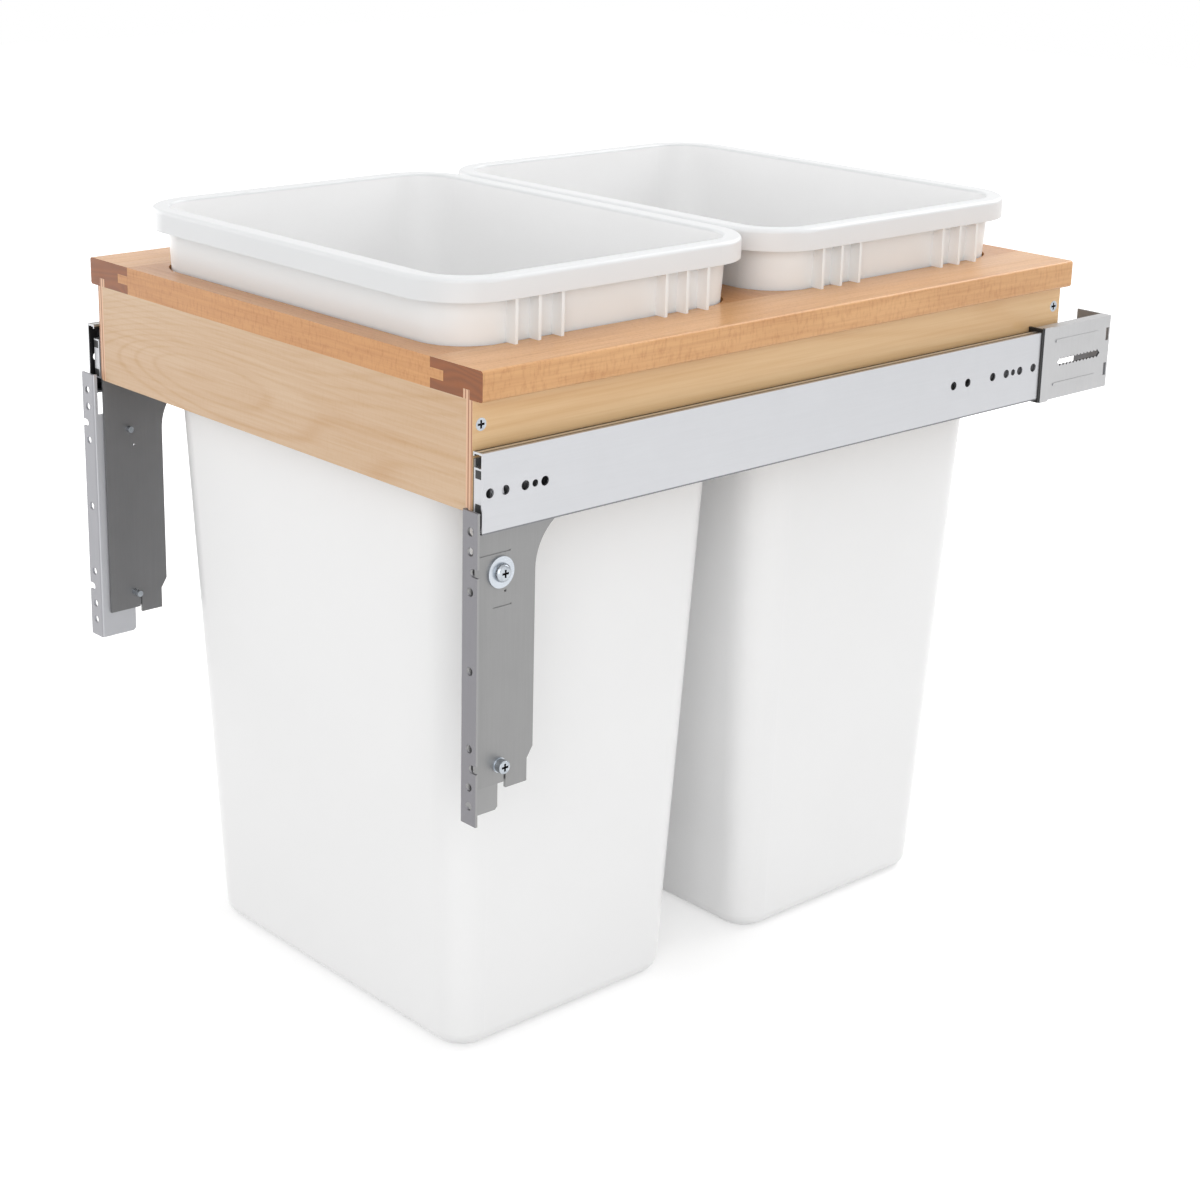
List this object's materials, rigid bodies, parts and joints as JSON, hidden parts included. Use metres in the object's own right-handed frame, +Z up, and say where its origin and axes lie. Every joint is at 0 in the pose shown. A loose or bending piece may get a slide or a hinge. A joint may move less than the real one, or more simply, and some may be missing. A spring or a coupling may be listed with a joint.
{
  "type": "pull out trash cabinet",
  "caption": "Pull out waste unit: maple frame on ball-bearing slides carrying lift-out white bins, with door and rear mounting brackets.",
  "frame": {"origin": "midway between the two slides, on their centre line, in the plane of the frame's front edge", "axes": "+X to the right seen from the front, +Y into the cabinet, +Z up; the unit pulls out along -Y"},
  "size_m": [0.4668, 0.6435, 0.561],
  "materials": {
    "maple_stile": "clear satin lacquer",
    "maple_rail": "clear satin lacquer",
    "apron_plywood": "clear satin lacquer",
    "slide_steel": "bright zinc plate",
    "bracket_steel": "zinc plate",
    "dark_steel": "grey passivated steel",
    "cage_steel": "stamped steel",
    "ball_steel": "polished",
    "screw_steel": "zinc plate",
    "black_plastic": "moulded",
    "bin_plastic": "moulded, smooth satin"
  },
  "bodies": {
    "cabinet_rails": {"left_outer_member": "slide_steel", "right_outer_member": "slide_steel", "left_rear_collar": "black_plastic", "right_rear_collar": "black_plastic"},
    "drawer": {"left_stile": "maple_stile", "right_stile": "maple_stile", "front_rail": "maple_rail", "middle_rail": "maple_rail", "back_rail": "maple_rail", "left_side_panel": "apron_plywood", "right_side_panel": "apron_plywood", "front_panel": "apron_plywood", "back_panel": "apron_plywood", "left_inner_member": "slide_steel", "right_inner_member": "slide_steel", "left_front_bumper": "black_plastic", "right_front_bumper": "black_plastic", "left_bracket_arm": "dark_steel", "right_bracket_arm": "dark_steel", "panel_screws": "screw_steel", "slide_screws": "screw_steel", "adjust_washers": "screw_steel", "pan_head_screws": "screw_steel", "tall_head_screws": "screw_steel"},
    "left_middle": {"left_middle_member": "slide_steel"},
    "left_outer_cage": {"left_outer_ball_cage": "cage_steel", "left_outer_balls": "ball_steel"},
    "left_inner_cage": {"left_inner_ball_cage": "cage_steel", "left_inner_balls": "ball_steel"},
    "left_rear_bracket": {"left_rear_bracket": "bracket_steel"},
    "left_door_flange": {"left_door_flange": "dark_steel"},
    "right_middle": {"right_middle_member": "slide_steel"},
    "right_outer_cage": {"right_outer_ball_cage": "cage_steel", "right_outer_balls": "ball_steel"},
    "right_inner_cage": {"right_inner_ball_cage": "cage_steel", "right_inner_balls": "ball_steel"},
    "right_rear_bracket": {"right_rear_bracket": "bracket_steel"},
    "right_door_flange": {"right_door_flange": "dark_steel"},
    "front_bin": {"front_bin": "bin_plastic"},
    "rear_bin": {"rear_bin": "bin_plastic"}
  },
  "joints": [
    {"name": "drawer_slide", "type": "slide", "parent": "cabinet_rails", "child": "drawer", "axis": [0, -1, 0], "range_m": [0, 0.55]},
    {"name": "left_middle_slide", "type": "slide", "parent": "cabinet_rails", "child": "left_middle", "axis": [0, -1, 0], "range_m": [0, 0.275]},
    {"name": "left_outer_cage_slide", "type": "slide", "parent": "cabinet_rails", "child": "left_outer_cage", "axis": [0, -1, 0], "range_m": [0, 0.1375]},
    {"name": "left_inner_cage_slide", "type": "slide", "parent": "cabinet_rails", "child": "left_inner_cage", "axis": [0, -1, 0], "range_m": [0, 0.4125]},
    {"name": "left_depth_adjust", "type": "slide", "parent": "cabinet_rails", "child": "left_rear_bracket", "axis": [0, 1, 0], "range_m": [0, 0.035]},
    {"name": "left_door_adjust", "type": "slide", "parent": "drawer", "child": "left_door_flange", "axis": [0, 0, 1], "range_m": [-0.008, 0.008]},
    {"name": "right_middle_slide", "type": "slide", "parent": "cabinet_rails", "child": "right_middle", "axis": [0, -1, 0], "range_m": [0, 0.275]},
    {"name": "right_outer_cage_slide", "type": "slide", "parent": "cabinet_rails", "child": "right_outer_cage", "axis": [0, -1, 0], "range_m": [0, 0.1375]},
    {"name": "right_inner_cage_slide", "type": "slide", "parent": "cabinet_rails", "child": "right_inner_cage", "axis": [0, -1, 0], "range_m": [0, 0.4125]},
    {"name": "right_depth_adjust", "type": "slide", "parent": "cabinet_rails", "child": "right_rear_bracket", "axis": [0, 1, 0], "range_m": [0, 0.035]},
    {"name": "right_door_adjust", "type": "slide", "parent": "drawer", "child": "right_door_flange", "axis": [0, 0, 1], "range_m": [-0.008, 0.008]},
    {"name": "front_bin_lift", "type": "slide", "parent": "drawer", "child": "front_bin", "axis": [0, 0, 1], "range_m": [0, 0.565]},
    {"name": "rear_bin_lift", "type": "slide", "parent": "drawer", "child": "rear_bin", "axis": [0, 0, 1], "range_m": [0, 0.565]}
  ],
  "couplings": [
    {"joint": "left_middle_slide", "follows": "drawer_slide", "ratio": 0.5},
    {"joint": "left_outer_cage_slide", "follows": "drawer_slide", "ratio": 0.25},
    {"joint": "left_inner_cage_slide", "follows": "drawer_slide", "ratio": 0.75},
    {"joint": "right_middle_slide", "follows": "drawer_slide", "ratio": 0.5},
    {"joint": "right_outer_cage_slide", "follows": "drawer_slide", "ratio": 0.25},
    {"joint": "right_inner_cage_slide", "follows": "drawer_slide", "ratio": 0.75}
  ]
}
